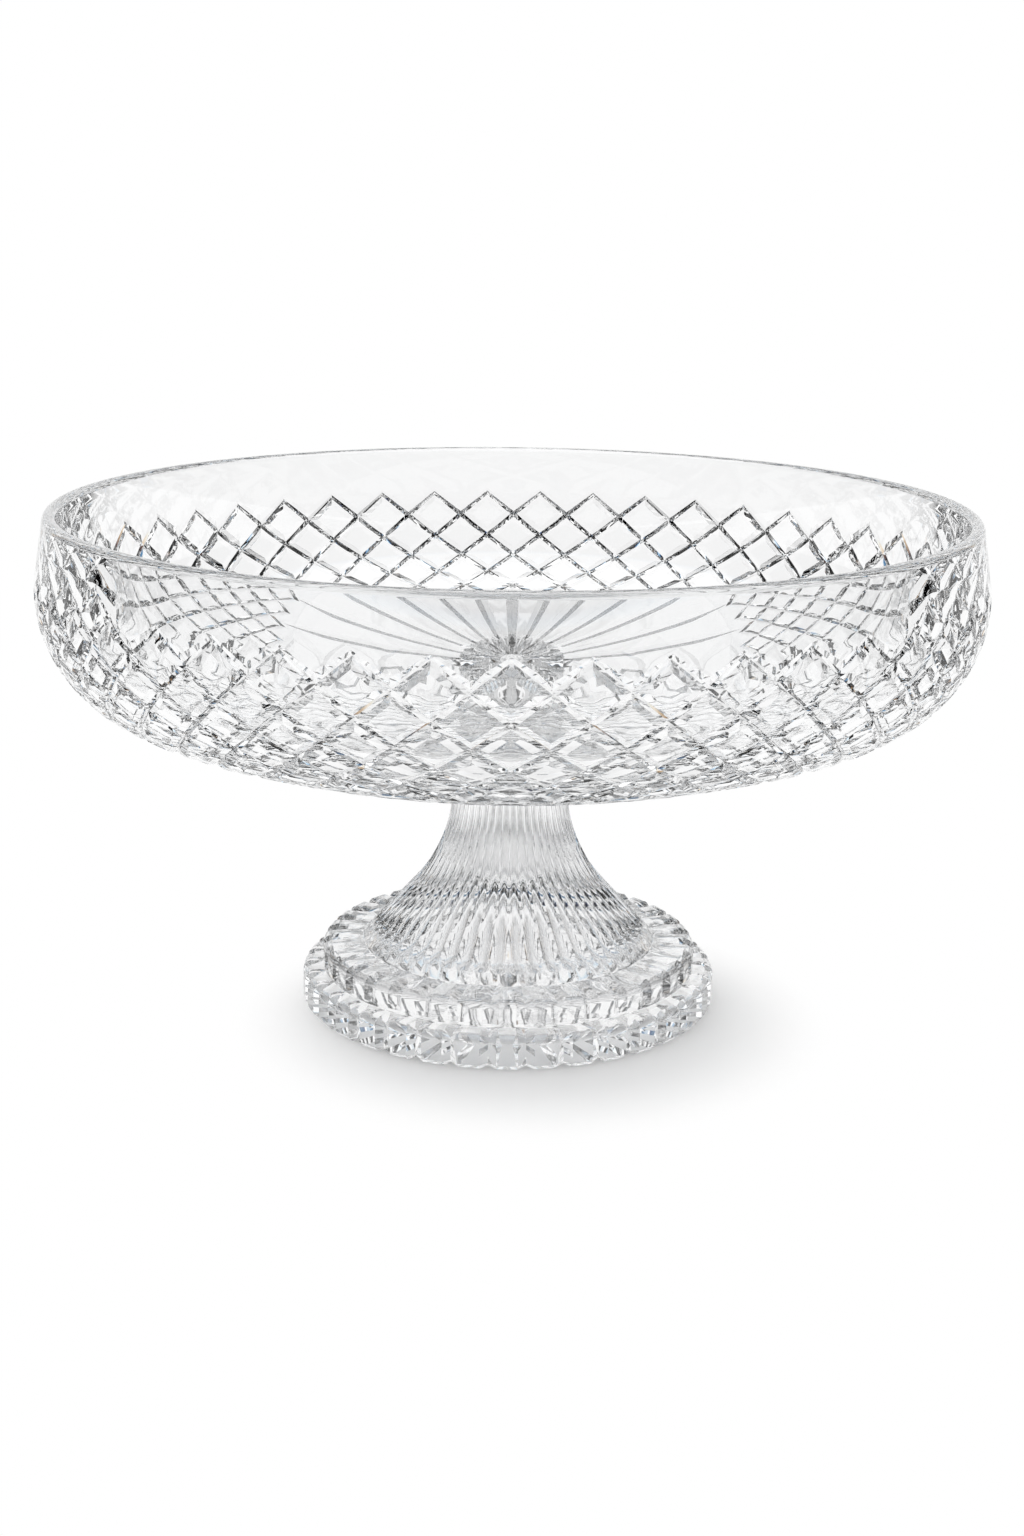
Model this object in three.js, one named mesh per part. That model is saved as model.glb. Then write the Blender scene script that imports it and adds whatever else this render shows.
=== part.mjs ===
// Footed fruit bowl in clear cut crystal: a wide bowl on a fluted stem, which stands on two foot plates.
// The four pieces are ground flat where they meet and held by thin films of clear cement.
// Millimetres, +Z up, origin at the centre of the base. Angles run counter-clockwise from the front (-Y).
import * as THREE from "three";

// Foot plates: two discs whose top and rim are cut into a ring of blocks
const PLATE_BLOCKS = 36;
const PLATE_LAND_SHARE = 0.56; // part of each block's width that the cuts leave standing
const PLATE_CUT_DEPTH = 1.3;
const PLATE_SHOULDER = 2.6; // radius of the rounded top edge
const LOWER_PLATE_HEIGHT = 11.2;
const LOWER_PLATE_STEP = 6.7; // how far the lower plate stands out from the upper one
const UPPER_PLATE_HEIGHT = 8.5;
const UPPER_PLATE_STEP = 13.5; // how far the upper plate stands out from the stem

// Stem: a solid trumpet with long hollow flutes
const STEM_FLUTES = 48;
const STEM_NECK_RADIUS = 18.7;
const STEM_NECK_LENGTH = 8.7; // straight stretch under the bowl
const STEM_BASE_RADIUS = 48.2;
const STEM_FLARE_RADIUS = 51.5; // radius of the hollow curve between neck and cone
const STEM_FLARE_ANGLE = THREE.MathUtils.degToRad(42); // lean of the cone below that curve
const STEM_PLAIN_BAND = 4; // uncut slope below the ends of the flutes
const STEM_FLUTE_RUN_OUT = 3; // slope over which a flute rises to its end
const STEM_FLUTE_SHARE = 0.2; // depth of a flute as part of its own width

// Bowl: plain band under the rim, diamond cuts round the belly, star cut on the bottom
const BOWL_RADIUS = 150;
const BOWL_HEIGHT = 82.65;
const RIM_THICKNESS = 4.8;
const BAND_HEIGHT = 17.6; // plain conical band from the rim down to the belly
const BAND_LEAN = THREE.MathUtils.degToRad(9.5);
const BELLY_RADIUS = 40.5; // radius of the curve that turns the wall under
const UNDERSIDE_KNEE = 67.6; // radius at which the belly's slope, drawn straight on, meets the seat's level
const INNER_LEAN = THREE.MathUtils.degToRad(7); // the wall thickens downwards by this lean
const FLOOR_THICKNESS = 7;
const FLOOR_KNEE = 47.4; // as for the underside, for the floor inside
const DIAMONDS = 45; // diamonds in one ring
const DIAMOND_DROP = 15; // from the top of the plain band down to the upper points, along the wall
const DIAMOND_SHAPE = 0.83; // height of a diamond over its width
const DIAMOND_TABLE_SHARE = 0.55; // flat table of a diamond as part of its own size
const DIAMOND_CUT_DEPTH = 2; // at the widest ring, shallower where the diamonds are smaller
const STAR_RAYS = 24;
const STAR_RADIUS = 84;
const STAR_DEEPEST_RADIUS = 66;
const STAR_CUT_WIDTH = 4; // of a ray where it is deepest
const STAR_CUT_DEPTH = 1.2;
const STAR_MARGIN = 1.3; // plain glass left at both ends of the rays

// Joints: flat ground seats with a film of clear cement between them
const CEMENT_THICKNESS = 0.25;
const CEMENT_INSET = 0.8; // how far the film stays inside the smaller seat
const SEAT_MARGIN = 1.3; // flat ground ring left around each joint

// Faceting of the smooth stretches
const RIM_STEPS = 4;
const INNER_CURVE_STEPS = 5;
const FLOOR_STEPS = 4;
const FLARE_STEPS = 6;
const SHOULDER_STEPS = 2;
const CEMENT_SIDES = 48;

const UPPER_PLATE_RADIUS = STEM_BASE_RADIUS + UPPER_PLATE_STEP;
const LOWER_PLATE_RADIUS = UPPER_PLATE_RADIUS + LOWER_PLATE_STEP;
const BOWL_SEAT_RADIUS = STEM_NECK_RADIUS + SEAT_MARGIN;

// The stem's cone and flare, from its base up
const CONE_TOP_RADIUS = STEM_NECK_RADIUS + STEM_FLARE_RADIUS * (1 - Math.cos(STEM_FLARE_ANGLE));
const CONE_HEIGHT = (STEM_BASE_RADIUS - CONE_TOP_RADIUS) / Math.tan(STEM_FLARE_ANGLE);
const FLARE_TOP = CONE_HEIGHT + STEM_FLARE_RADIUS * Math.sin(STEM_FLARE_ANGLE);
const STEM_HEIGHT = FLARE_TOP + STEM_NECK_LENGTH;

// Heights at which the pieces stand on each other
const FOOT_CEMENT_BASE = LOWER_PLATE_HEIGHT;
const UPPER_PLATE_BASE = FOOT_CEMENT_BASE + CEMENT_THICKNESS;
const STEM_CEMENT_BASE = UPPER_PLATE_BASE + UPPER_PLATE_HEIGHT;
const STEM_BASE = STEM_CEMENT_BASE + CEMENT_THICKNESS;
const BOWL_CEMENT_BASE = STEM_BASE + STEM_HEIGHT;
const BOWL_BASE = BOWL_CEMENT_BASE + CEMENT_THICKNESS;

const FULL_TURN = 2 * Math.PI;
const polar = (angle, radius = 1) => new THREE.Vector2(Math.cos(angle) * radius, Math.sin(angle) * radius);

// A section is a path of (radius, height): these give a place on it, and the way out of the glass there
const NORMAL_STEP = 0.01;
const along = (path, distance) => path.getPoint(THREE.MathUtils.clamp(distance / path.getLength(), 0, 1));
function outward(path, distance) {
  const tangent = along(path, distance + NORMAL_STEP).sub(along(path, distance - NORMAL_STEP)).normalize();
  return new THREE.Vector2(-tangent.y, tangent.x);
}
function sunk(path, distance, depth) {
  return along(path, distance).addScaledVector(outward(path, distance), -depth);
}

// Collects the points and triangles of one closed surface. Rings follow the section from the axis on top,
// outwards, down the outside and back to the axis below, so that every triangle faces out of the glass.
class Skin {
  points = [];
  faces = [];

  point(place, angle) {
    this.points.push(place.x * Math.sin(angle), -place.x * Math.cos(angle), place.y);
    return { index: this.points.length / 3 - 1, angle };
  }

  centre(height) {
    return [this.point(new THREE.Vector2(0, height), 0)];
  }

  ring(count, placeAt) {
    const makePoint = (_, i) => this.point(placeAt(i), (i / count) * FULL_TURN);
    return Array.from({ length: count }, makePoint);
  }

  face(...corners) {
    for (let i = 2; i < corners.length; i += 1) {
      this.faces.push(corners[0].index, corners[i - 1].index, corners[i].index);
    }
  }

  // Joins two neighbouring rings, which may have different counts
  join(first, second) {
    const stepsOf = (ring) => (ring.length > 1 ? ring.length : 0);
    const at = (ring, i) => ring[i % ring.length];
    const angleAt = (ring, i) => at(ring, i).angle + (i >= ring.length ? FULL_TURN : 0);
    let i = 0;
    let j = 0;
    while (i < stepsOf(first) || j < stepsOf(second)) {
      const secondIsNext = angleAt(second, j + 1) <= angleAt(first, i + 1);
      if (j < stepsOf(second) && (i >= stepsOf(first) || secondIsNext)) {
        this.face(at(first, i), at(second, j), at(second, j + 1));
        j += 1;
      } else {
        this.face(at(first, i), at(second, j), at(first, i + 1));
        i += 1;
      }
    }
  }

  joinAll(rings) {
    for (let i = 1; i < rings.length; i += 1) this.join(rings[i - 1], rings[i]);
  }

  mesh(name, material, base) {
    const geometry = new THREE.BufferGeometry();
    geometry.setAttribute("position", new THREE.Float32BufferAttribute(this.points, 3));
    geometry.setIndex(this.faces);
    geometry.computeVertexNormals();
    return placed(new THREE.Mesh(geometry, material), name, base);
  }
}

function placed(mesh, name, base) {
  mesh.name = name;
  mesh.position.z = base;
  return mesh;
}

const crystal = () => new THREE.MeshStandardMaterial({ color: 0xf2f5f7, roughness: 0.04, metalness: 0 });
const cement = () => new THREE.MeshStandardMaterial({ color: 0xfafaf6, roughness: 0.2, metalness: 0 });

function cementFilm(name, radius, base) {
  const geometry = new THREE.CylinderGeometry(radius, radius, CEMENT_THICKNESS, CEMENT_SIDES);
  geometry.rotateX(Math.PI / 2);
  geometry.translate(0, 0, CEMENT_THICKNESS / 2);
  return placed(new THREE.Mesh(geometry, cement()), name, base);
}

// A foot plate: each block is a land between two V cuts, which start at the flat seat,
// run out over the rounded shoulder and go down the rim
function footPlate(name, radius, height, seatRadius, base) {
  const skin = new Skin();
  const section = new THREE.Path();
  section.moveTo(seatRadius, height);
  section.lineTo(radius - PLATE_SHOULDER, height);
  section.absarc(radius - PLATE_SHOULDER, height - PLATE_SHOULDER, PLATE_SHOULDER, Math.PI / 2, 0, true);
  section.lineTo(radius, 0);
  const length = section.getLength();
  const shoulderStart = radius - PLATE_SHOULDER - seatRadius;
  const shoulderLength = (PLATE_SHOULDER * Math.PI) / 2;

  const blockRing = (distance, depth) => {
    const land = along(section, distance);
    const cut = sunk(section, distance, depth);
    const ring = [];
    for (let block = 0; block < PLATE_BLOCKS; block += 1) {
      const corners = [[-PLATE_LAND_SHARE / 2, land], [PLATE_LAND_SHARE / 2, land], [1 / 2, cut]];
      for (const [share, place] of corners) {
        ring.push(skin.point(place, ((block + share) / PLATE_BLOCKS) * FULL_TURN));
      }
    }
    return ring;
  };

  const rings = [skin.centre(height), blockRing(0, 0)];
  for (let step = 0; step <= SHOULDER_STEPS; step += 1) {
    rings.push(blockRing(shoulderStart + (shoulderLength * step) / SHOULDER_STEPS, PLATE_CUT_DEPTH));
  }
  rings.push(blockRing(length, PLATE_CUT_DEPTH), skin.centre(0));
  skin.joinAll(rings);
  return skin.mesh(name, crystal(), base);
}

// Depth of a stem flute where the stem has this radius
const fluteDepth = (radius) => (STEM_FLUTE_SHARE * FULL_TURN * radius) / STEM_FLUTES;

// The stem: straight neck, hollow flare and cone, with flutes from the top down to the plain band
function stem() {
  const skin = new Skin();
  const section = new THREE.Path();
  section.moveTo(STEM_NECK_RADIUS, STEM_HEIGHT);
  section.lineTo(STEM_NECK_RADIUS, FLARE_TOP);
  const flareCentre = STEM_NECK_RADIUS + STEM_FLARE_RADIUS;
  section.absarc(flareCentre, FLARE_TOP, STEM_FLARE_RADIUS, Math.PI, Math.PI + STEM_FLARE_ANGLE, false);
  section.lineTo(STEM_BASE_RADIUS, 0);
  const length = section.getLength();
  const flareLength = STEM_FLARE_RADIUS * STEM_FLARE_ANGLE;

  const plainRing = (distance) => skin.ring(2 * STEM_FLUTES, () => along(section, distance));
  const fluteRing = (distance) => {
    const ridge = along(section, distance);
    const hollow = sunk(section, distance, fluteDepth(ridge.x));
    return skin.ring(2 * STEM_FLUTES, (i) => (i % 2 ? hollow : ridge));
  };

  const rings = [skin.centre(STEM_HEIGHT), fluteRing(0)];
  for (let step = 0; step <= FLARE_STEPS; step += 1) {
    rings.push(fluteRing(STEM_NECK_LENGTH + (flareLength * step) / FLARE_STEPS));
  }
  const fluteEnd = length - STEM_PLAIN_BAND;
  rings.push(fluteRing(fluteEnd - STEM_FLUTE_RUN_OUT), plainRing(fluteEnd), plainRing(length));
  rings.push(skin.centre(0));
  skin.joinAll(rings);
  return skin.mesh("fluted_stem", crystal(), STEM_BASE);
}

// Angle of the point where a straight line from a place below and inside a circle touches its far side
function touchAngle(centre, radius, place) {
  const away = place.clone().sub(centre);
  return away.angle() + Math.acos(radius / away.length());
}

// The bowl's sections: round the rim, down the outside to the seat, along the floor and up the inner wall
function bowlSections() {
  const rimRadius = RIM_THICKNESS / 2;
  const rimHeight = BOWL_HEIGHT - rimRadius;
  const bellyTop = BOWL_HEIGHT - BAND_HEIGHT;
  const bellyHeight = bellyTop - BELLY_RADIUS * Math.sin(BAND_LEAN);
  const bellyCentre = new THREE.Vector2(BOWL_RADIUS - BELLY_RADIUS, bellyHeight);
  const bandFoot = polar(BAND_LEAN, BELLY_RADIUS).add(bellyCentre);
  const bandRise = (rimHeight - bellyTop) * Math.sin(BAND_LEAN);
  const rimCentre = new THREE.Vector2(bandFoot.x - (bandRise + rimRadius) / Math.cos(BAND_LEAN), rimHeight);

  const rim = new THREE.Path();
  rim.absarc(rimCentre.x, rimCentre.y, rimRadius, Math.PI - INNER_LEAN, BAND_LEAN, true);

  const outer = new THREE.Path();
  const bandTop = polar(BAND_LEAN, rimRadius).add(rimCentre);
  outer.moveTo(bandTop.x, bandTop.y);
  outer.lineTo(bandFoot.x, bandFoot.y);
  const bellyEnd = touchAngle(bellyCentre, BELLY_RADIUS, new THREE.Vector2(UNDERSIDE_KNEE, 0));
  outer.absarc(bellyCentre.x, bellyCentre.y, BELLY_RADIUS, BAND_LEAN, bellyEnd, true);
  outer.quadraticCurveTo(UNDERSIDE_KNEE, 0, BOWL_SEAT_RADIUS, 0);

  const innerTop = polar(Math.PI - INNER_LEAN, rimRadius).add(rimCentre);
  const innerRadius = innerTop.clone().sub(bellyCentre).dot(polar(-INNER_LEAN));
  const floorKnee = new THREE.Vector2(FLOOR_KNEE, FLOOR_THICKNESS);
  const wallStart = touchAngle(bellyCentre, innerRadius, floorKnee);
  const floorEnd = polar(wallStart, innerRadius).add(bellyCentre);
  const floor = new THREE.Path();
  floor.moveTo(0, FLOOR_THICKNESS);
  floor.quadraticCurveTo(floorKnee.x, floorKnee.y, floorEnd.x, floorEnd.y);
  const wall = new THREE.Path();
  wall.absarc(bellyCentre.x, bellyCentre.y, innerRadius, wallStart, -INNER_LEAN, false);
  return { rim, outer, floor, wall };
}

// Distances along the wall of the rings in which the diamond cuts cross, down to the star
function crossingDistances(outer) {
  const distances = [DIAMOND_DROP];
  const last = () => distances[distances.length - 1];
  while (along(outer, last()).x > STAR_RADIUS) {
    distances.push(last() + (DIAMOND_SHAPE * Math.PI * along(outer, last()).x) / DIAMONDS);
  }
  return distances.slice(0, -1);
}

// Diamond cuts: two families of V cuts cross all round the belly and leave flat-topped diamonds.
// Returns the zigzag edges where the cut belt meets the plain glass above and below it.
function diamondBelt(skin, outer) {
  const distances = crossingDistances(outer);
  const rows = distances.length;
  const angleOf = (row, column) => ((column + (row % 2) / 2) / DIAMONDS) * FULL_TURN;
  const tableAngle = (DIAMOND_TABLE_SHARE * FULL_TURN) / DIAMONDS / 2;
  const towards = (row, other) =>
    THREE.MathUtils.lerp(distances[row], distances[other], DIAMOND_TABLE_SHARE);
  const onGlass = (distance, angle) => skin.point(along(outer, distance), angle);

  // The cuts run out to nothing at the first and the last ring
  const crossings = distances.map((distance, row) => {
    const cut = row > 0 && row < rows - 1;
    const depth = cut ? (DIAMOND_CUT_DEPTH * along(outer, distance).x) / BOWL_RADIUS : 0;
    const place = sunk(outer, distance, depth);
    return Array.from({ length: DIAMONDS }, (_, column) => skin.point(place, angleOf(row, column)));
  });
  const crossing = (row, column) => crossings[row][(column + DIAMONDS) % DIAMONDS];

  for (let row = 0; row < rows - 2; row += 1) {
    for (let column = 0; column < DIAMONDS; column += 1) {
      const angle = angleOf(row, column);
      const odd = row % 2;
      const corners = [
        crossing(row, column),
        crossing(row + 1, column - 1 + odd),
        crossing(row + 2, column),
        crossing(row + 1, column + odd),
      ];
      const table = [
        onGlass(towards(row + 1, row), angle),
        onGlass(distances[row + 1], angle - tableAngle),
        onGlass(towards(row + 1, row + 2), angle),
        onGlass(distances[row + 1], angle + tableAngle),
      ];
      for (let side = 0; side < 4; side += 1) {
        const next = (side + 1) % 4;
        skin.face(corners[side], corners[next], table[next], table[side]);
      }
      skin.face(...table);
    }
  }

  const upperEdge = [];
  const lowerEdge = [];
  const end = rows - 1;
  for (let column = 0; column < DIAMONDS; column += 1) {
    const valley = crossing(1, column);
    const plainPoint = onGlass(towards(0, 1), valley.angle);
    skin.face(crossing(0, column), valley, plainPoint);
    skin.face(valley, crossing(0, column + 1), plainPoint);
    upperEdge.push(crossing(0, column), plainPoint);

    const peak = crossing(end - 1, column);
    const starPoint = onGlass(towards(end, end - 1), peak.angle);
    const peakIsOdd = (end - 1) % 2;
    skin.face(peak, crossing(end, column - 1 + peakIsOdd), starPoint);
    skin.face(peak, starPoint, crossing(end, column + peakIsOdd));
    const inOrder = [starPoint, crossing(end, column)];
    lowerEdge.push(...(peakIsOdd ? inOrder.reverse() : inOrder));
  }
  return { upperEdge, lowerEdge };
}

// Star on the bottom: narrow V cuts with plain glass between them, deepest part way along each ray
function starRings(skin, outer) {
  const length = outer.getLength();
  const distanceAt = (radius) => {
    let near = 0;
    let far = length;
    while (far - near > NORMAL_STEP) {
      const middle = (near + far) / 2;
      if (along(outer, middle).x > radius) near = middle;
      else far = middle;
    }
    return far;
  };
  const plainRing = (radius) => {
    const place = along(outer, distanceAt(radius));
    return skin.ring(2 * STAR_RAYS, () => place);
  };

  // A ring of rays, some share of the way from one end of them to their deepest place
  const cutRing = (endRadius, share) => {
    const radius = THREE.MathUtils.lerp(endRadius, STAR_DEEPEST_RADIUS, share);
    const distance = distanceAt(radius);
    const land = along(outer, distance);
    const hollow = sunk(outer, distance, STAR_CUT_DEPTH * share);
    const halfAngle = (STAR_CUT_WIDTH * share) / 2 / radius;
    const corners = [[-halfAngle, land], [0, hollow], [halfAngle, land], [Math.PI / STAR_RAYS, land]];
    const ring = [];
    for (let ray = 0; ray < STAR_RAYS; ray += 1) {
      for (const [turn, place] of corners) {
        ring.push(skin.point(place, (ray / STAR_RAYS) * FULL_TURN + turn));
      }
    }
    return ring;
  };

  const outerEnd = STAR_RADIUS - STAR_MARGIN;
  const innerEnd = BOWL_SEAT_RADIUS + STAR_MARGIN;
  const seat = new THREE.Vector2(BOWL_SEAT_RADIUS, 0);
  return [
    plainRing(outerEnd),
    cutRing(outerEnd, 1 / 2),
    cutRing(outerEnd, 1),
    cutRing(innerEnd, 2 / 3),
    cutRing(innerEnd, 1 / 3),
    plainRing(innerEnd),
    skin.ring(2 * STAR_RAYS, () => seat),
    skin.centre(0),
  ];
}

function bowl() {
  const skin = new Skin();
  const { rim, outer, floor, wall } = bowlSections();
  const smoothRings = (path, steps, first) => {
    const rings = [];
    for (let step = first; step <= steps; step += 1) {
      const place = path.getPoint(step / steps);
      rings.push(skin.ring(2 * DIAMONDS, () => place));
    }
    return rings;
  };
  const inside = [...smoothRings(floor, FLOOR_STEPS, 1), ...smoothRings(wall, INNER_CURVE_STEPS, 1)];
  const { upperEdge, lowerEdge } = diamondBelt(skin, outer);
  skin.joinAll([skin.centre(FLOOR_THICKNESS), ...inside, ...smoothRings(rim, RIM_STEPS, 0), upperEdge]);
  skin.joinAll([lowerEdge, ...starRings(skin, outer)]);
  return skin.mesh("bowl", crystal(), BOWL_BASE);
}

const STEM_SEAT_RADIUS = STEM_BASE_RADIUS + SEAT_MARGIN;
const NECK_CORE_RADIUS = STEM_NECK_RADIUS - fluteDepth(STEM_NECK_RADIUS);
const footedBowl = new THREE.Group();
footedBowl.add(
  footPlate("lower_foot_plate", LOWER_PLATE_RADIUS, LOWER_PLATE_HEIGHT, UPPER_PLATE_RADIUS, 0),
  cementFilm("foot_cement", UPPER_PLATE_RADIUS - PLATE_CUT_DEPTH - CEMENT_INSET, FOOT_CEMENT_BASE),
  footPlate("upper_foot_plate", UPPER_PLATE_RADIUS, UPPER_PLATE_HEIGHT, STEM_SEAT_RADIUS, UPPER_PLATE_BASE),
  cementFilm("stem_cement", STEM_BASE_RADIUS - CEMENT_INSET, STEM_CEMENT_BASE),
  stem(),
  cementFilm("bowl_cement", NECK_CORE_RADIUS - CEMENT_INSET, BOWL_CEMENT_BASE),
  bowl(),
);

export default footedBowl;
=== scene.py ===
# Footed fruit bowl in clear cut crystal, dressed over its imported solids. Metres, +Z up, front at -Y.
import math

import bmesh
import bpy
from mathutils import Matrix, Vector, geometry, kdtree


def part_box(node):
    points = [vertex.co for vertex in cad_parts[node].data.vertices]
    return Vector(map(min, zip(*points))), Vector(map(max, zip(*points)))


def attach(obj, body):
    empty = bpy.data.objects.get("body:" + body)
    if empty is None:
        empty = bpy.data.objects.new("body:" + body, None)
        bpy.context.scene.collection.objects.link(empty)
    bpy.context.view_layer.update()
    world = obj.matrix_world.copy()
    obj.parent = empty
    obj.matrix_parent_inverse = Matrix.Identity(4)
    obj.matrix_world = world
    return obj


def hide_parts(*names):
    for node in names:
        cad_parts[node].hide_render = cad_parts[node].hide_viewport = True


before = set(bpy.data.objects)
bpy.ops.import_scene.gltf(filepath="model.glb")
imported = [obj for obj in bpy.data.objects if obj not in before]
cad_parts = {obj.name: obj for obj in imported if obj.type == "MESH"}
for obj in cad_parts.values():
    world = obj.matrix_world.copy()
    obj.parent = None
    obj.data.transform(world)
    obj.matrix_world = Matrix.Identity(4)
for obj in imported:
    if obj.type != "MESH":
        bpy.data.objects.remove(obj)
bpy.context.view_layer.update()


# Lower foot plate
# The wide crystal disc that the bowl stands on. A cutting wheel has run V cuts out over its rounded shoulder
# and down its rim, which leaves a ring of polished blocks. Its underside is ground flat and left matt.
FRONT = -math.pi / 2
FULL_TURN = 2 * math.pi
NEAR = 1e-6
CRYSTAL_GREY = (0.988, 0.991, 0.994, 1)
CRYSTAL_CLEAR = (0.996, 0.997, 0.998, 1)
CRYSTAL_IOR = 1.545
POLISH_SCALE = 90.0
POLISH_DETAIL = 3.0
POLISHED_ROUGHNESS = (0.0, 0.004)
GROUND_ROUGHNESS = (0.22, 0.38)
CEMENT_COLOUR = (0.97, 0.97, 0.97, 1)
CEMENT_ROUGHNESS = 0.3
CEMENT_HAZE = 0.02
BUBBLE_SCALE = 900.0
BUBBLE_DETAIL = 2.0
WETTED = 1
GROUND = 2
WET_MARGIN = 0.0009
PLATE_BLOCKS = 36
COLUMNS_PER_BLOCK = 3
PLATE_CUT_WIDTH = 0.0052
PLATE_CUT_DEPTH = 0.0013
PLATE_SHOULDER = 0.0026
SHOULDER_STEPS = 10
EDGE_RING = 0.0001
LOWER_FOOT_EDGE = 0.0016
PLATE_EDGES_FROM = math.radians(16)


class Wire:
    """An output in a node tree: arithmetic on it adds Math nodes, and add() puts in any other node."""

    def __init__(self, tree, output=None):
        self.tree = tree
        self.output = output

    def add(self, kind, settings=None, inputs=None, output=0):
        node = self.tree.nodes.new(kind)
        for name, value in (settings or {}).items():
            setattr(node, name, value)
        for name, value in (inputs or {}).items():
            if isinstance(value, Wire):
                self.tree.links.new(value.output, node.inputs[name])
            else:
                node.inputs[name].default_value = value
        return Wire(self.tree, node.outputs[output] if len(node.outputs) else None)

    def beside(self, output):
        """Another output of the same node."""
        return Wire(self.tree, self.output.node.outputs[output])

    def math(self, operation, first, second):
        return self.add("ShaderNodeMath", {"operation": operation}, {0: first, 1: second})

    def mix(self, first, second):
        """A colour between two, by this value. A Mix node has its colours at 6 and 7, and their mix at 2."""
        return self.add("ShaderNodeMix", {"data_type": "RGBA"}, {0: self, 6: first, 7: second}, 2)

    def __add__(self, other):
        return self.math("ADD", self, other)

    def __sub__(self, other):
        return self.math("SUBTRACT", self, other)

    def __rsub__(self, other):
        return self.math("SUBTRACT", other, self)

    def __mul__(self, other):
        return self.math("MULTIPLY", self, other)

    __radd__ = __add__
    __rmul__ = __mul__


def node_tree(owner):
    """The empty node tree of a material or a world."""
    owner.use_nodes = True
    owner.node_tree.nodes.clear()
    return Wire(owner.node_tree)


def clear_crystal(name, roughness):
    """Crystal: clear, with a breath of grey and the unevenness that its polishing or grinding leaves."""
    least, most = roughness
    material = bpy.data.materials.new(name)
    tree = node_tree(material)
    place = tree.add("ShaderNodeTexCoord", output="Object")
    polish = tree.add("ShaderNodeTexNoise", inputs={
        "Vector": place,
        "Scale": POLISH_SCALE,
        "Detail": POLISH_DETAIL,
    })
    glass = tree.add("ShaderNodeBsdfPrincipled", inputs={
        "Base Color": polish.mix(CRYSTAL_GREY, CRYSTAL_CLEAR),
        "Roughness": polish * (most - least) + least,
        "IOR": CRYSTAL_IOR,
        "Transmission Weight": 1.0,
    })
    tree.add("ShaderNodeOutputMaterial", inputs={"Surface": glass})
    return material


def clear_cement(name):
    """Clear cement and the seats it wets: no step for light to bend at, only a haze of fine bubbles."""
    material = bpy.data.materials.new(name)
    tree = node_tree(material)
    place = tree.add("ShaderNodeTexCoord", output="Object")
    bubbles = tree.add("ShaderNodeTexNoise", inputs={
        "Vector": place,
        "Scale": BUBBLE_SCALE,
        "Detail": BUBBLE_DETAIL,
    })
    film = tree.add("ShaderNodeBsdfPrincipled", inputs={
        "Base Color": CEMENT_COLOUR,
        "Roughness": CEMENT_ROUGHNESS,
        "Alpha": bubbles * CEMENT_HAZE,
    })
    tree.add("ShaderNodeOutputMaterial", inputs={"Surface": film})
    return material


crystal = clear_crystal("clear_crystal", POLISHED_ROUGHNESS)
ground_crystal = clear_crystal("ground_crystal", GROUND_ROUGHNESS)
cement = clear_cement("clear_cement")


def arc(centre, radius, start, end, steps):
    """Points along an arc of a section, as (radius, height)."""
    angles = [start + (end - start) * step / steps for step in range(steps + 1)]
    return [(centre[0] + radius * math.cos(a), centre[1] + radius * math.sin(a)) for a in angles]


def spun(section, columns, first=FRONT):
    """A skin spun about the axis from a section, with its first column at an angle."""
    skin = bmesh.new()
    turn = Matrix.Rotation(first, 3, "Z")
    points = [skin.verts.new(turn @ Vector((radius, 0, height))) for radius, height in section]
    lines = [skin.edges.new(pair) for pair in zip(points, points[1:])]
    bmesh.ops.spin(skin, geom=points + lines, cent=(0, 0, 0), axis=(0, 0, 1), dvec=(0, 0, 0),
                   angle=FULL_TURN, steps=columns, use_merge=True)
    bmesh.ops.remove_doubles(skin, verts=skin.verts, dist=NEAR)
    bmesh.ops.recalc_face_normals(skin, faces=skin.faces)
    return skin


def column_of(vert, columns, first=FRONT):
    """How many columns round from the first one a vertex lies, as a fraction."""
    angle = math.atan2(vert.co.y, vert.co.x) - first
    return (angle / FULL_TURN * columns) % columns


def wheel_cut(skin, columns, cuts, cut_at, first=FRONT):
    """Gathers a spun skin's columns into V cuts, each with two edges and a middle line sunk between them.

    cut_at(radius, height) gives half the width of a cut and its depth there."""
    pitch = FULL_TURN / cuts
    per_cut = columns // cuts
    moves = []
    for vert in skin.verts:
        radius = vert.co.xy.length
        if radius < NEAR:
            continue
        half_width, depth = cut_at(radius, vert.co.z)
        cut, step = divmod(round(column_of(vert, columns, first)) % columns, per_cut)
        half_angle = math.asin(half_width / radius)
        turn = half_angle + (pitch - 2 * half_angle) * (step - 1) / (per_cut - 2) if step else 0
        direction = Matrix.Rotation(first + cut * pitch + turn, 2) @ Vector((1, 0))
        sink = Vector((vert.normal.xy.dot(vert.co.xy / radius), vert.normal.z)) * (0 if step else depth)
        moves.append((vert, Vector((*(direction * (radius - sink.x)), vert.co.z - sink.y))))
    for vert, place in moves:
        vert.co = place


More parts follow.
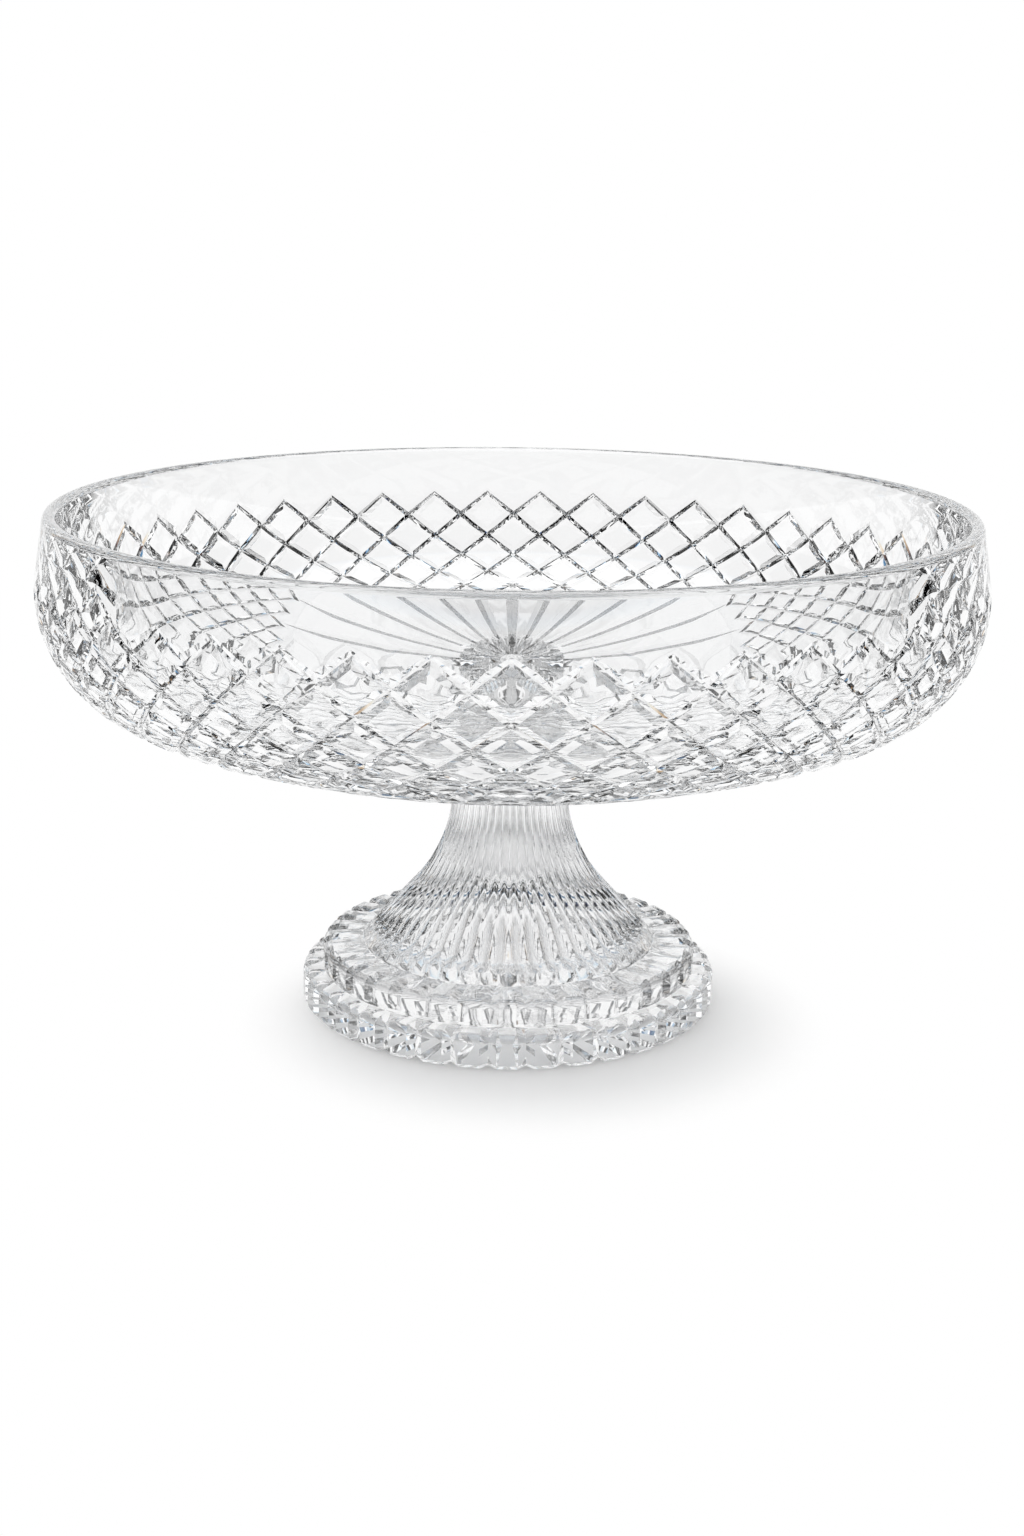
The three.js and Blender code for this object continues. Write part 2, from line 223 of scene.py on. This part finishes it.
def crystal_piece(node, skin, edges_from, films):
    """Finishes a skin as the crystal piece that stands for a node, with crisp edges from an angle on.

    Where a cement film meets it, its seat is wetted, and the glass doesn't show there."""
    bmesh.ops.remove_doubles(skin, verts=skin.verts, dist=NEAR)
    bmesh.ops.recalc_face_normals(skin, faces=skin.faces)
    for face in skin.faces:
        face.smooth = True
    for low, high in [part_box(film) for film in films]:
        for face in skin.faces:
            heights = [vert.co.z for vert in face.verts]
            level = low.z - NEAR < min(heights) and max(heights) < high.z + NEAR
            if level and max(vert.co.xy.length for vert in face.verts) < high.x + WET_MARGIN + NEAR:
                face.material_index = WETTED
    for edge in skin.edges:
        edge.smooth = edge.calc_face_angle(0) < edges_from
    mesh = bpy.data.meshes.new(node + "_crystal")
    skin.to_mesh(mesh)
    skin.free()
    for finish in (crystal, cement, ground_crystal):
        mesh.materials.append(finish)
    piece = bpy.data.objects.new(node + "_crystal", mesh)
    bpy.context.scene.collection.objects.link(piece)
    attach(piece, "root")
    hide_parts(node)


def wet_radius(node):
    """How far out a joint's cement wets the glass: the film, and what is squeezed out round it."""
    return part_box(node)[1].x + WET_MARGIN


def foot_plate(node, seat_radius, film_above, films, foot_edge, plain_foot):
    """A foot plate, cut from the seat of what stands on it outwards and down to the foot of its rim."""
    low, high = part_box(node)
    half_width = PLATE_CUT_WIDTH / 2
    rim = high.x / math.cos(math.pi / PLATE_BLOCKS - math.asin(half_width / high.x))
    shoulder = (rim - PLATE_SHOULDER, high.z - PLATE_SHOULDER)
    cut_ends = [low.z + plain_foot + PLATE_CUT_DEPTH, low.z + plain_foot] if plain_foot else []
    section = [
        (0, high.z),
        (film_above, high.z),
        (seat_radius, high.z),
        (shoulder[0] - EDGE_RING, high.z),
        *arc(shoulder, PLATE_SHOULDER, math.pi / 2, 0, SHOULDER_STEPS),
        (rim, shoulder[1] - EDGE_RING),
        *[(rim, height) for height in cut_ends],
        (rim, low.z + foot_edge),
        (rim - foot_edge, low.z),
        (0, low.z),
    ]
    columns = COLUMNS_PER_BLOCK * PLATE_BLOCKS
    first = FRONT + math.pi / PLATE_BLOCKS
    skin = spun(section, columns, first)

    def cut_at(radius, height):
        reach = (radius - seat_radius) / (shoulder[0] - seat_radius)
        if plain_foot and radius > shoulder[0]:
            reach = (height - low.z - plain_foot) / PLATE_CUT_DEPTH
        return half_width, PLATE_CUT_DEPTH * min(max(reach, 0), 1)

    wheel_cut(skin, columns, PLATE_BLOCKS, cut_at, first)
    for face in skin.faces:
        if max(vert.co.z for vert in face.verts) < NEAR:
            face.material_index = GROUND
    crystal_piece(node, skin, PLATE_EDGES_FROM, films)


foot_plate("lower_foot_plate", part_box("upper_foot_plate")[1].x, wet_radius("foot_cement"), ["foot_cement"],
           LOWER_FOOT_EDGE, 0)


# Foot cement
# A film of clear cement between the two foot plates, thinner than a sheet of card.
# It is pressed out to just inside the upper plate's cut rim and hardened by light.
def cement_film(node):
    """Gives a film's own solid the cement's finish."""
    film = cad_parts[node].data
    film.materials.clear()
    film.materials.append(cement)


cement_film("foot_cement")


# Upper foot plate
# The smaller crystal disc under the stem, cut into blocks in the same way as the lower one.
# Its cuts start at the stem's edge and end above the foot of its rim. It is cemented to the lower plate.
STEM_SEAT_MARGIN = 0.0013
UPPER_FOOT_EDGE = 0.0004
UPPER_PLAIN_FOOT = 0.0013

stem_low, stem_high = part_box("fluted_stem")
foot_plate("upper_foot_plate", stem_high.x + STEM_SEAT_MARGIN, wet_radius("stem_cement"),
           ["stem_cement", "foot_cement"], UPPER_FOOT_EDGE, UPPER_PLAIN_FOOT)


# Stem cement
# The film of clear cement that holds the stem to the upper foot plate.
# It is pressed out to just inside the stem's edge and hardened by light.
cement_film("stem_cement")


# Fluted stem
# A solid crystal trumpet between foot and bowl, with long hollow flutes cut side by side from its neck
# down its flare. The flutes end in round tips, and below them the slope is plain.
STEM_NECK_RADIUS = 0.0187
STEM_FLARE_RADIUS = 0.0515
STEM_FLARE_ANGLE = math.radians(42)
STEM_FLARE_STEPS = 24
STEM_PLAIN_BAND = 0.004
STEM_FLUTES = 48
FLUTE_SHARE = 0.34
FLUTE_WIDTH_SHARE = 0.96
FLUTE_STEPS = 8
FLUTE_RUN_OUT = 0.006
RUN_OUT_STEPS = 8
STEM_EDGES_FROM = math.radians(24)


class Outline:
    """A section as (radius, height) points, read by the distance along it."""

    def __init__(self, points):
        self.points = [Vector(point) for point in points]
        self.stations = [0.0]
        for first, second in zip(self.points, self.points[1:]):
            self.stations.append(self.stations[-1] + (second - first).length)
        self.length = self.stations[-1]
        self.finder = kdtree.KDTree(len(self.points))
        for index, point in enumerate(self.points):
            self.finder.insert(point.to_3d(), index)
        self.finder.balance()

    def at(self, distance):
        """The place and the outward direction at a distance."""
        step = 0
        while step < len(self.points) - 2 and self.stations[step + 1] < distance:
            step += 1
        along = (self.points[step + 1] - self.points[step]).normalized()
        return self.points[step] + along * (distance - self.stations[step]), Vector((-along.y, along.x))

    def sunk(self, distance, depth):
        """The place at a distance, a depth below the outline."""
        place, outward = self.at(distance)
        return place - outward * depth

    def nearest(self, place):
        """The distance along the outline of its point nearest to a place."""
        _, index, _ = self.finder.find(place.to_3d())
        best = (math.inf, 0.0)
        for step in range(max(index - 1, 0), min(index + 1, len(self.points) - 1)):
            first, second = self.points[step], self.points[step + 1]
            share = min(max(geometry.intersect_point_line(place, first, second)[1], 0), 1)
            foot = first.lerp(second, share)
            best = min(best, ((foot - place).length, self.stations[step] + (foot - first).length))
        return best[1]

    def settle(self, vert, depth=0):
        """Moves a vertex onto the outline, or a depth below it, at its own angle round the axis."""
        distance = self.nearest(Vector((vert.co.xy.length, vert.co.z)))
        radius, height = self.sunk(distance, depth)
        vert.co.xy *= radius / vert.co.xy.length
        vert.co.z = height


cone_top_radius = STEM_NECK_RADIUS + STEM_FLARE_RADIUS * (1 - math.cos(STEM_FLARE_ANGLE))
cone_top = stem_low.z + (stem_high.x - cone_top_radius) / math.tan(STEM_FLARE_ANGLE)
flare_top = cone_top + STEM_FLARE_RADIUS * math.sin(STEM_FLARE_ANGLE)
flare_centre = (STEM_NECK_RADIUS + STEM_FLARE_RADIUS, flare_top)
stem_outline = Outline([
    (STEM_NECK_RADIUS, stem_high.z),
    *arc(flare_centre, STEM_FLARE_RADIUS, math.pi, math.pi + STEM_FLARE_ANGLE, STEM_FLARE_STEPS),
    (stem_high.x, stem_low.z),
])
flute_end = stem_outline.length - STEM_PLAIN_BAND
run_out_shares = [step / RUN_OUT_STEPS for step in range(RUN_OUT_STEPS + 1)]
run_out_stations = [flute_end - FLUTE_RUN_OUT * (1 - share) for share in run_out_shares]
run_out_start = run_out_stations[0]
stem_stations = [station for station in stem_outline.stations if station < run_out_start - NEAR]
stem_stations += run_out_stations + [stem_outline.length]
stem_section = [
    (0, stem_high.z),
    (wet_radius("bowl_cement"), stem_high.z),
    *[stem_outline.at(station)[0] for station in stem_stations],
    (wet_radius("stem_cement"), stem_low.z),
    (0, stem_low.z),
]
stem_skin = spun(stem_section, STEM_FLUTES * FLUTE_STEPS)
for vert in stem_skin.verts:
    place = Vector((vert.co.xy.length, vert.co.z))
    distance = stem_outline.nearest(place)
    if (stem_outline.at(distance)[0] - place).length > NEAR:
        continue
    across = column_of(vert, STEM_FLUTES) % 1
    hollow = 1 - ((2 * across - 1) / FLUTE_WIDTH_SHARE) ** 2
    run_out = max(0, (distance - run_out_start) / FLUTE_RUN_OUT)
    sink = FLUTE_SHARE * FULL_TURN * place.x / STEM_FLUTES * max(0, hollow - run_out ** 2)
    radius, height = stem_outline.sunk(distance, sink)
    vert.co.xy *= radius / place.x
    vert.co.z = min(height, stem_high.z)
crystal_piece("fluted_stem", stem_skin, STEM_EDGES_FROM, ["bowl_cement", "stem_cement"])


# Bowl cement
# The film of clear cement that holds the bowl on the stem's neck.
# It is pressed out to just inside the neck's edge and hardened by light.
cement_film("bowl_cement")


# Bowl
# A wide, heavy bowl blown in a mould and cut by hand. Under its rounded rim runs a plain band. Below it two
# families of V cuts cross all round the belly and leave diamonds, and a star is cut on the bottom.
RIM_THICKNESS = 0.0048
RIM_STEPS = 40
BAND_HEIGHT = 0.0176
BAND_LEAN = math.radians(9.5)
BELLY_RADIUS = 0.0405
BELLY_STEPS = 60
UNDERSIDE_KNEE = 0.0676
UNDERSIDE_STEPS = 40
BOWL_SEAT_RADIUS = 0.02
INNER_LEAN = math.radians(7)
INNER_WALL_STEPS = 24
FLOOR_THICKNESS = 0.007
FLOOR_KNEE = 0.0474
FLOOR_STEPS = 32
DIAMONDS = 45
DIAMOND_DROP = 0.0158
DIAMOND_SHAPE = 0.83
DIAMOND_TOP_SHARE = 0.58
DIAMOND_TOP_STEPS = 3
DIAMOND_CUT_DEPTH = 0.0018
DIAMOND_BEVEL_SHARE = 0.70
DIAMOND_BEVEL_DEPTH = 0.0006
DIAMONDS_END_RADIUS = 0.084
PLAIN_BELOW_DIAMONDS = DIAMOND_DROP / 3
TIP_CUT_SHARE = 0.4
PLAIN_STEPS = 4
STAR_RAYS = 24
STAR_RADIUS = 0.081
STAR_BORDER = 0.002
STAR_DEEPEST_RADIUS = 0.066
STAR_INNER_RADIUS = 0.004
STAR_STEPS = 16
STAR_CUT_WIDTH = 0.006
STAR_CUT_DEPTH = 0.0009
STAR_TAPER = 0.6
COLUMNS_PER_RAY = 9
BOWL_EDGES_FROM = math.radians(11)

bowl_low, bowl_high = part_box("bowl")
bowl_radius = min(bowl_high.x, bowl_high.y, -bowl_low.y)


def polar(angle, radius):
    """The place at an angle and a radius."""
    return Vector((radius * math.cos(angle), radius * math.sin(angle)))


def touch_angle(centre, radius, place):
    """Angle of the point where a line from a place below and inside touches a circle's far side."""
    away = place - centre
    return math.atan2(away.y, away.x) + math.acos(radius / away.length)


def bend(start, knee, end, steps):
    """Points of the curve that leaves one place and reaches another along lines that meet at a knee."""
    first = start.lerp(knee, 2 / 3)
    second = end.lerp(knee, 2 / 3)
    return geometry.interpolate_bezier(start, first, second, end, steps + 1)


rim_radius = RIM_THICKNESS / 2
rim_height = bowl_high.z - rim_radius
belly_top = bowl_high.z - BAND_HEIGHT
belly = Vector((bowl_radius - BELLY_RADIUS, belly_top - BELLY_RADIUS * math.sin(BAND_LEAN)))
band_foot = belly + polar(BAND_LEAN, BELLY_RADIUS)
band_rise = (rim_height - belly_top) * math.sin(BAND_LEAN)
rim_centre = Vector((band_foot.x - (band_rise + rim_radius) / math.cos(BAND_LEAN), rim_height))
band_top = rim_centre + polar(BAND_LEAN, rim_radius)
knee = Vector((UNDERSIDE_KNEE, bowl_low.z))
belly_end = touch_angle(belly, BELLY_RADIUS, knee)
seat_edge = Vector((BOWL_SEAT_RADIUS, bowl_low.z))
underside = bend(belly + polar(belly_end, BELLY_RADIUS), knee, seat_edge, UNDERSIDE_STEPS)
bowl_outline = Outline([
    band_top,
    *arc(belly, BELLY_RADIUS, BAND_LEAN, belly_end, BELLY_STEPS),
    *underside[1:],
    (0, bowl_low.z),
])

# The rings in which the cuts cross lie a half diamond apart, so that diamonds shrink with the bowl's girth
crossing_stations = [DIAMOND_DROP]
while bowl_outline.at(crossing_stations[-1])[0].x > DIAMONDS_END_RADIUS:
    girth = bowl_outline.at(crossing_stations[-1])[0].x
    crossing_stations.append(crossing_stations[-1] + DIAMOND_SHAPE * math.pi * girth / DIAMONDS)
last_ring = len(crossing_stations) - 1
crossing_points = []
for ring, station in enumerate(crossing_stations):
    share = TIP_CUT_SHARE if ring in (0, last_ring) else 1
    girth = bowl_outline.at(station)[0].x
    crossing_points.append(bowl_outline.sunk(station, share * DIAMOND_CUT_DEPTH * girth / bowl_radius))
band_ring = bowl_outline.at(EDGE_RING)[0]
plain_ring = bowl_outline.at(crossing_stations[-1] + PLAIN_BELOW_DIAMONDS)[0]
bowl_columns = 2 * DIAMONDS
bowl_skin = spun([band_top, band_ring, *crossing_points, plain_ring], bowl_columns)

crossings = set()
hubs = []
ring_of = {}
for vert in bowl_skin.verts:
    place = Vector((vert.co.xy.length, vert.co.z))
    gaps = [(place - point).length for point in crossing_points]
    if min(gaps) > NEAR:
        continue
    ring_of[vert] = gaps.index(min(gaps))
    if (ring_of[vert] + round(column_of(vert, bowl_columns))) % 2 == 0:
        crossings.add(vert)
    elif 0 < ring_of[vert] < last_ring:
        hubs.append(vert)
bmesh.ops.connect_verts(bowl_skin, verts=list(crossings))
bmesh.ops.dissolve_verts(bowl_skin, verts=hubs)

rows = {}
plain_faces = []
for face in bowl_skin.faces:
    if all(vert in crossings for vert in face.verts):
        rows.setdefault(1 + min(ring_of[vert] for vert in face.verts), []).append(face)
    else:
        plain_faces.append(face)


def flank_width(ring):
    """Width, on the glass, of one side of the V cuts round a ring of diamonds."""
    half_width = math.pi * crossing_points[ring].x / DIAMONDS
    half_height = DIAMOND_SHAPE * half_width
    return (1 - DIAMOND_TOP_SHARE) * half_width * half_height / math.hypot(half_width, half_height)


def settle_all(faces, depth):
    """Lays the corners of some faces on the bowl's outline, or a depth below it at the widest girth."""
    for vert in {vert for face in faces for vert in face.verts}:
        bowl_outline.settle(vert, depth * vert.co.xy.length / bowl_radius)


# Each V cut is steep at its bottom and flatter above, up to the diamonds' tops and the plain glass
diamond_tops = []
plain = []
groups = [(ring, row, diamond_tops, bmesh.ops.inset_individual) for ring, row in rows.items()]
for ring, above in ((0, True), (last_ring, False)):
    faces = [face for face in plain_faces if (face.calc_center_median().z > belly.y) == above]
    groups.append((ring, faces, plain, bmesh.ops.inset_region))
for ring, faces, group, inset in groups:
    steep = flank_width(ring) * (1 - DIAMOND_BEVEL_SHARE)
    inset(bowl_skin, faces=faces, thickness=steep, use_even_offset=True)
    settle_all(faces, DIAMOND_BEVEL_DEPTH)
    inset(bowl_skin, faces=faces, thickness=flank_width(ring) - steep, use_even_offset=True)
    settle_all(faces, 0)
    group += faces

# The cuts narrow towards the tips, where the wheel was lifted
for tip in crossings:
    if ring_of[tip] == 0:
        shelf = max((edge.other_vert(tip) for edge in tip.link_edges), key=lambda vert: vert.co.z)
        apex = max((edge.other_vert(shelf) for edge in shelf.link_edges), key=lambda vert: vert.co.z)
        for vert, depth in ((shelf, DIAMOND_BEVEL_DEPTH * TIP_CUT_SHARE), (apex, 0)):
            vert.co = vert.co.lerp(tip.co, 1 - TIP_CUT_SHARE)
            bowl_outline.settle(vert, depth)

# The diamonds' tops and the plain glass are rounded like the bowl
for faces, steps in ((diamond_tops, DIAMOND_TOP_STEPS), (plain, PLAIN_STEPS)):
    edges = {edge for face in faces for edge in face.edges if edge.calc_length() > 2 * EDGE_RING}
    finer = bmesh.ops.subdivide_edges(bowl_skin, edges=list(edges), cuts=steps - 1, use_grid_fill=True)
    for vert in finer["geom_inner"]:
        if isinstance(vert, bmesh.types.BMVert):
            bowl_outline.settle(vert)
smooth_columns = bowl_columns * PLAIN_STEPS
for vert in bowl_skin.verts:
    if abs(vert.co.z - band_top.y) < NEAR:
        turn = FRONT + round(column_of(vert, smooth_columns)) / smooth_columns * FULL_TURN
        vert.co.xy = Matrix.Rotation(turn, 2) @ Vector((band_top.x, 0))

# Star: its rays are opened on a disc of their own, which is joined to the lowest diamonds
star_reach = STAR_RADIUS - STAR_INNER_RADIUS
star_radii = [STAR_RADIUS - star_reach * step / STAR_STEPS for step in range(STAR_STEPS + 1)]
star_radii = sorted([*star_radii, BOWL_SEAT_RADIUS, wet_radius("bowl_cement")], reverse=True)
star_section = []
for radius in [STAR_RADIUS + STAR_BORDER, *star_radii]:
    near, far = bowl_outline.length / 2, bowl_outline.length
    while far - near > NEAR:
        half = (near + far) / 2
        near, far = (half, far) if bowl_outline.at(half)[0].x > radius else (near, half)
    star_section.append(bowl_outline.at(far)[0])
star_section.append((0, bowl_low.z))
star_columns = STAR_RAYS * COLUMNS_PER_RAY
star_skin = spun(star_section, star_columns)


def ray_at(radius, height):
    """Half the width of a ray and its depth at a radius: it tapers to a point outwards and to the centre."""
    outer = (STAR_RADIUS - radius) / (STAR_RADIUS - STAR_DEEPEST_RADIUS)
    inner = min(radius / STAR_DEEPEST_RADIUS, 1) ** STAR_TAPER
    share = max(min(outer, inner), 0)
    return STAR_CUT_WIDTH / 2 * share, STAR_CUT_DEPTH * share


def take_in(skin, other):
    """Adds another skin to a skin."""
    mesh = bpy.data.meshes.new("other_skin")
    other.to_mesh(mesh)
    other.free()
    skin.from_mesh(mesh)
    bpy.data.meshes.remove(mesh)


# Beyond the stem's seat the rays are left as the wheel ground them
for face in star_skin.faces:
    beyond_seat = min(vert.co.xy.length for vert in face.verts) > BOWL_SEAT_RADIUS - NEAR
    steps = [round(column_of(vert, star_columns)) % COLUMNS_PER_RAY for vert in face.verts]
    if beyond_seat and 0 in steps:
        face.material_index = GROUND
wheel_cut(star_skin, star_columns, STAR_RAYS, ray_at)
take_in(bowl_skin, star_skin)
seam = [edge for edge in bowl_skin.edges if edge.is_boundary and edge.verts[0].co.z < belly.y]
bmesh.ops.bridge_loops(bowl_skin, edges=seam)

# Inside: the floor, the inner wall and the rounded rim are one smooth skin
inner_top = rim_centre + polar(math.pi - INNER_LEAN, rim_radius)
inner_radius = (inner_top - belly).dot(polar(-INNER_LEAN, 1))
floor_knee = Vector((FLOOR_KNEE, bowl_low.z + FLOOR_THICKNESS))
wall_start = touch_angle(belly, inner_radius, floor_knee)
floor_centre = Vector((0, floor_knee.y))
inside_section = [
    *bend(floor_centre, floor_knee, belly + polar(wall_start, inner_radius), FLOOR_STEPS),
    *arc(belly, inner_radius, wall_start, -INNER_LEAN, INNER_WALL_STEPS)[1:],
    *arc(rim_centre, rim_radius, math.pi - INNER_LEAN, BAND_LEAN, RIM_STEPS),
]
take_in(bowl_skin, spun(inside_section, smooth_columns))
crystal_piece("bowl", bowl_skin, BOWL_EDGES_FROM, ["bowl_cement"])


# Camera
# It stands where the photograph was taken from, a little above the rim and looking down,
# and its lens and tilt come from a fit to the rim, the cuts and the edges of the foot.
CAMERA_PLACE = (0, -0.69367, 0.26951)
CAMERA_TILT = math.radians(15.4544)
CAMERA_ROLL = math.radians(0.6927)
PHOTO_HEIGHT = 1536
FOCAL_LENGTH = 2198.6
PHOTO_SHIFT = 1.52
SENSOR = 36.0

scene = bpy.context.scene
camera_data = bpy.data.cameras.new("camera")
camera_data.sensor_fit = "VERTICAL"
camera_data.sensor_height = SENSOR
camera_data.lens = SENSOR * FOCAL_LENGTH / PHOTO_HEIGHT
camera_data.shift_x = PHOTO_SHIFT / PHOTO_HEIGHT
camera = bpy.data.objects.new("camera", camera_data)
camera.matrix_world = (
    Matrix.Translation(CAMERA_PLACE)
    @ Matrix.Rotation(math.pi / 2 - CAMERA_TILT, 4, "X")
    @ Matrix.Rotation(CAMERA_ROLL, 4, "Z")
)
scene.collection.objects.link(camera)
scene.camera = camera


# Table
# A sheet of white paper that runs on out of sight. The camera sees it glowing plain white, and lit round the
# foot, where the bowl's own soft shadow shows inside a painted mask. In the glass it also glows white,
# greyer under the foot with painted shade and painted dark far out in front.
TABLE_RADIUS = 6
TABLE_SIDES = 64
TABLE_GAP = 0.0003
PAPER_GREY = (0.87, 0.87, 0.87, 1)
PAPER_WHITE = (0.89, 0.89, 0.89, 1)
PAPER_SCALE = 60.0
PAPER_GLOW = 0.12
# Centre and edges of the mask that shapes the real shadow for the camera, set off-centre to paint its reach
# and lean
SHADOW_PLACE = (0.008, -0.021, 0)
SHADOW_EDGE = (0.052, 0.098)
# Painted shadow ring under the foot in the glass, and painted dark far out in front
FOOT_SHADE = 0.12
FOOT_SHADE_INSIDE = (0.040, 0.066)
FOOT_SHADE_OUTSIDE = (0.075, 0.15)
FAR_SHADE = 0.9
FAR_EDGE = (1.4, 2.0)
FAR_SHADE_BACK = (-0.5, 0.5)


def ease(value, limits, shift=0):
    """0 below the lower limit, 1 above the upper one, and a smooth rise between."""
    low, high = limits
    return value.add("ShaderNodeMapRange", {"interpolation_type": "SMOOTHSTEP"}, {
        "Value": value,
        "From Min": low + shift,
        "From Max": high + shift,
    })


table_skin = bmesh.new()
bmesh.ops.create_circle(table_skin, cap_ends=True, segments=TABLE_SIDES, radius=TABLE_RADIUS)
bmesh.ops.translate(table_skin, verts=table_skin.verts, vec=(0, 0, -TABLE_GAP))
table_mesh = bpy.data.meshes.new("table")
table_skin.to_mesh(table_mesh)
table_skin.free()
table = bpy.data.objects.new("table", table_mesh)
scene.collection.objects.link(table)

table_finish = bpy.data.materials.new("white_table")
tree = node_tree(table_finish)
place = tree.add("ShaderNodeTexCoord", output="Object")
away = tree.add("ShaderNodeVectorMath", {"operation": "LENGTH"}, {0: place}, "Value")
to_back = tree.add("ShaderNodeSeparateXYZ", inputs={0: place}, output="Y")
seen = tree.add("ShaderNodeLightPath", output="Is Camera Ray")
paper = tree.add("ShaderNodeTexNoise", inputs={"Vector": place, "Scale": PAPER_SCALE})
lit = tree.add("ShaderNodeBsdfDiffuse", inputs={"Color": paper.mix(PAPER_GREY, PAPER_WHITE)})
haze = tree.add("ShaderNodeEmission", inputs={"Color": (1, 1, 1, 1), "Strength": PAPER_GLOW})
shadowed = tree.add("ShaderNodeAddShader", inputs={0: lit, 1: haze})
# Painted shade in the glow that the glass sees: a grey ring under the foot for the bowl's shadow, and dark
# far out in front
foot_shade = ease(away, FOOT_SHADE_INSIDE) * (1 - ease(away, FOOT_SHADE_OUTSIDE)) * FOOT_SHADE
far_shade = ease(away, FAR_EDGE) * (1 - ease(to_back, FAR_SHADE_BACK)) * FAR_SHADE
glow = seen + (1 - seen) * (1 - far_shade - foot_shade)
shaded_glow = tree.add("ShaderNodeCombineColor", inputs={0: glow, 1: glow, 2: glow})
glowing = tree.add("ShaderNodeEmission", inputs={"Color": shaded_glow, "Strength": 1.0})
# For the camera the real shadow is kept only inside a mask round an off-centre point, which paints how far
# and which way it reaches; beyond that the paper glows plain white
from_shadow = tree.add("ShaderNodeVectorMath", {"operation": "SUBTRACT"}, {0: place, 1: SHADOW_PLACE})
shadow_away = tree.add("ShaderNodeVectorMath", {"operation": "LENGTH"}, {0: from_shadow}, "Value")
white = seen * ease(shadow_away, SHADOW_EDGE) + (1 - seen)
surface = tree.add("ShaderNodeMixShader", inputs={0: white, 1: shadowed, 2: glowing})
tree.add("ShaderNodeOutputMaterial", inputs={"Surface": surface})
table_mesh.materials.append(table_finish)


# Light
# A plain white studio. In the glass it shows bright walls behind and a bright panel overhead, and it is dark
# in front, above the walls and at both sides, because cut glass needs dark parts to show its edges.
WALL_STRENGTH = 0.96
WALL_FRONT_EDGE = (-0.15, 0.0)
WALL_TOP_EDGE = (0.5, 0.58)
SCREEN_EDGE = (0.6, 0.66)
PANEL_STRENGTH = 1.2
PANEL_EDGE = (0.72, 0.78)
DARK_STRENGTH = 0.02
COLOUR_FRINGE = 0.007
LIGHT_BOUNCES = 10
CLEAR_BOUNCES = 32

studio = bpy.data.worlds.new("studio")
scene.world = studio
tree = node_tree(studio)
direction = tree.add("ShaderNodeTexCoord", output="Generated")
to_right = tree.add("ShaderNodeSeparateXYZ", inputs={0: direction}, output="X")
to_back = to_right.beside("Y")
upwards = to_right.beside("Z")
sideways = tree.math("ABSOLUTE", to_right, 0.0)
mirrored = tree.add("ShaderNodeLightPath", output="Is Glossy Ray")
let_through = mirrored.beside("Is Transmission Ray")
in_glass = tree.math("MAXIMUM", mirrored, let_through)


def studio_light(shift):
    """Strength of one colour of the light: white, and in the glass the studio's bright and dark parts."""
    behind = ease(to_back, WALL_FRONT_EDGE, shift)
    low_down = 1 - ease(upwards, WALL_TOP_EDGE, -shift)
    between_screens = 1 - ease(sideways, SCREEN_EDGE, shift)
    walls = behind * low_down * between_screens * WALL_STRENGTH
    panel = ease(upwards, PANEL_EDGE, shift) * PANEL_STRENGTH
    return 1 + in_glass * (DARK_STRENGTH + walls + panel - 1)


colour = tree.add("ShaderNodeCombineColor", inputs={
    0: studio_light(COLOUR_FRINGE),
    1: studio_light(0),
    2: studio_light(-COLOUR_FRINGE),
})
background = tree.add("ShaderNodeBackground", inputs={"Color": colour, "Strength": 1.0})
tree.add("ShaderNodeOutputWorld", inputs={"Surface": background})

scene.view_settings.view_transform = "Standard"
scene.cycles.max_bounces = LIGHT_BOUNCES
scene.cycles.transmission_bounces = LIGHT_BOUNCES
scene.cycles.glossy_bounces = LIGHT_BOUNCES
scene.cycles.transparent_max_bounces = CLEAR_BOUNCES
